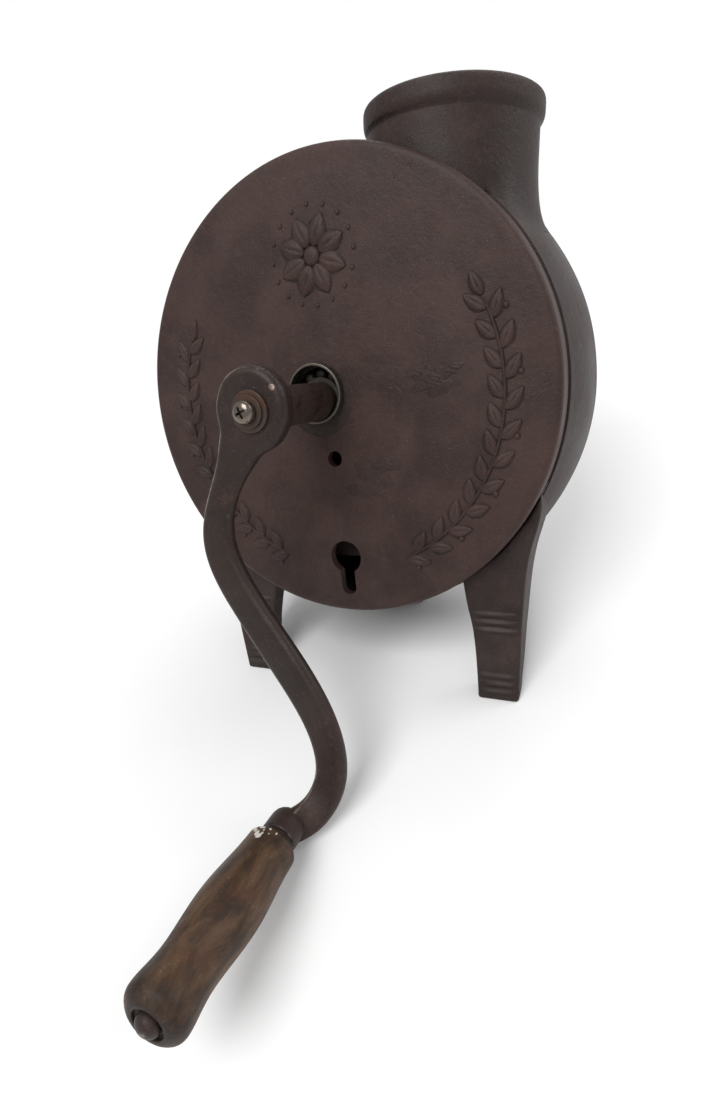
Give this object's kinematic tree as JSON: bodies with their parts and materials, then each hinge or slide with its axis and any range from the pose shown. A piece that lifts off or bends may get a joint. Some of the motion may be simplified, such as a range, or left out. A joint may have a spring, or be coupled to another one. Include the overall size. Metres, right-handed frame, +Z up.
{
  "type": "hand-crank corn sheller",
  "caption": "Small cast-iron corn sheller on three legs: a crank turns a toothed wheel in a round drum, under a round feed throat, against a sprung plate.",
  "frame": {"origin": "the middle of the whole machine's box, on the table that it stands on", "axes": "+Z up from the table, -Y towards the person who turns the crank, +X to that person's right"},
  "size_m": [0.243, 0.384, 0.2686],
  "materials": {
    "cover_iron": "dark brown aged cast iron, satin with a fine sand texture",
    "casing_iron": "dark brown aged cast iron, rougher and dustier than the cover",
    "arm_iron": "dark brown handled iron, smoother, with bright worn edges",
    "inner_iron": "bare dark iron, rubbed by corn",
    "bearing_steel": "hardened steel, tarnished",
    "shaft_steel": "turned steel with brown patina",
    "fastener_steel": "dulled steel",
    "screw_steel": "bright newer steel",
    "spring_steel": "dark spring wire",
    "grip_wood": "worn grey brown hardwood, dark from hands"
  },
  "bodies": {
    "housing": {"front_cover": "cover_iron", "rear_casing": "casing_iron", "cover_screws": "fastener_steel", "front_bearing_cup": "bearing_steel", "rear_bearing_cup": "bearing_steel", "plate_pivot_pin": "fastener_steel", "spring_adjuster": "fastener_steel", "adjuster_lock_nut": "fastener_steel", "pressure_spring": "spring_steel"},
    "crankshaft": {"drive_shaft": "shaft_steel", "picker_wheel": "inner_iron", "wheel_pin": "fastener_steel", "front_bearing_cone": "bearing_steel", "rear_bearing_cone": "bearing_steel", "rear_lock_washer": "fastener_steel", "rear_lock_nut": "fastener_steel", "crank_arm": "arm_iron", "large_hub_washer": "fastener_steel", "small_hub_washer": "fastener_steel", "hub_screw": "screw_steel", "grip_spindle": "fastener_steel", "grip_washer": "fastener_steel"},
    "front_ball_ring": {"front_bearing_balls": "bearing_steel"},
    "rear_ball_ring": {"rear_bearing_balls": "bearing_steel"},
    "hand_grip": {"wooden_grip": "grip_wood"},
    "pressure_plate": {"pressure_plate": "inner_iron"},
    "plunger": {"spring_plunger": "fastener_steel", "plunger_stop_nut": "fastener_steel"}
  },
  "joints": [
    {"name": "crank_turn", "type": "hinge", "parent": "housing", "child": "crankshaft", "pos_m": [-0.005, 0.05885, 0.15428], "axis": [0, 0.9063, -0.4226], "continuous": true},
    {"name": "front_balls_turn", "type": "hinge", "parent": "housing", "child": "front_ball_ring", "pos_m": [-0.005, 0.06428, 0.15174], "axis": [0, 0.9063, -0.4226], "continuous": true},
    {"name": "rear_balls_turn", "type": "hinge", "parent": "housing", "child": "rear_ball_ring", "pos_m": [-0.005, 0.14585, 0.11371], "axis": [0, 0.9063, -0.4226], "continuous": true},
    {"name": "grip_spin", "type": "hinge", "parent": "crankshaft", "child": "hand_grip", "pos_m": [-0.0031, -0.10661, 0.01716], "axis": [-0.0453, 0.9216, -0.3855], "continuous": true},
    {"name": "pressure_plate_swing", "type": "hinge", "parent": "housing", "child": "pressure_plate", "pos_m": [0.052, 0.15481, 0.16249], "axis": [1, 0, 0], "range_deg": [0, 10], "stiffness_Nm_per_rad": 6, "springref_deg": -5.73},
    {"name": "plunger_slide", "type": "slide", "parent": "housing", "child": "plunger", "axis": [0, 0.9063, -0.4226], "range_m": [0, 0.0103], "deforming": ["pressure_spring"]}
  ],
  "couplings": [
    {"joint": "front_balls_turn", "follows": "crank_turn", "ratio": 0.3843},
    {"joint": "rear_balls_turn", "follows": "crank_turn", "ratio": 0.3843},
    {"joint": "plunger_slide", "follows": "pressure_plate_swing", "m_per_rad": 0.0575}
  ]
}
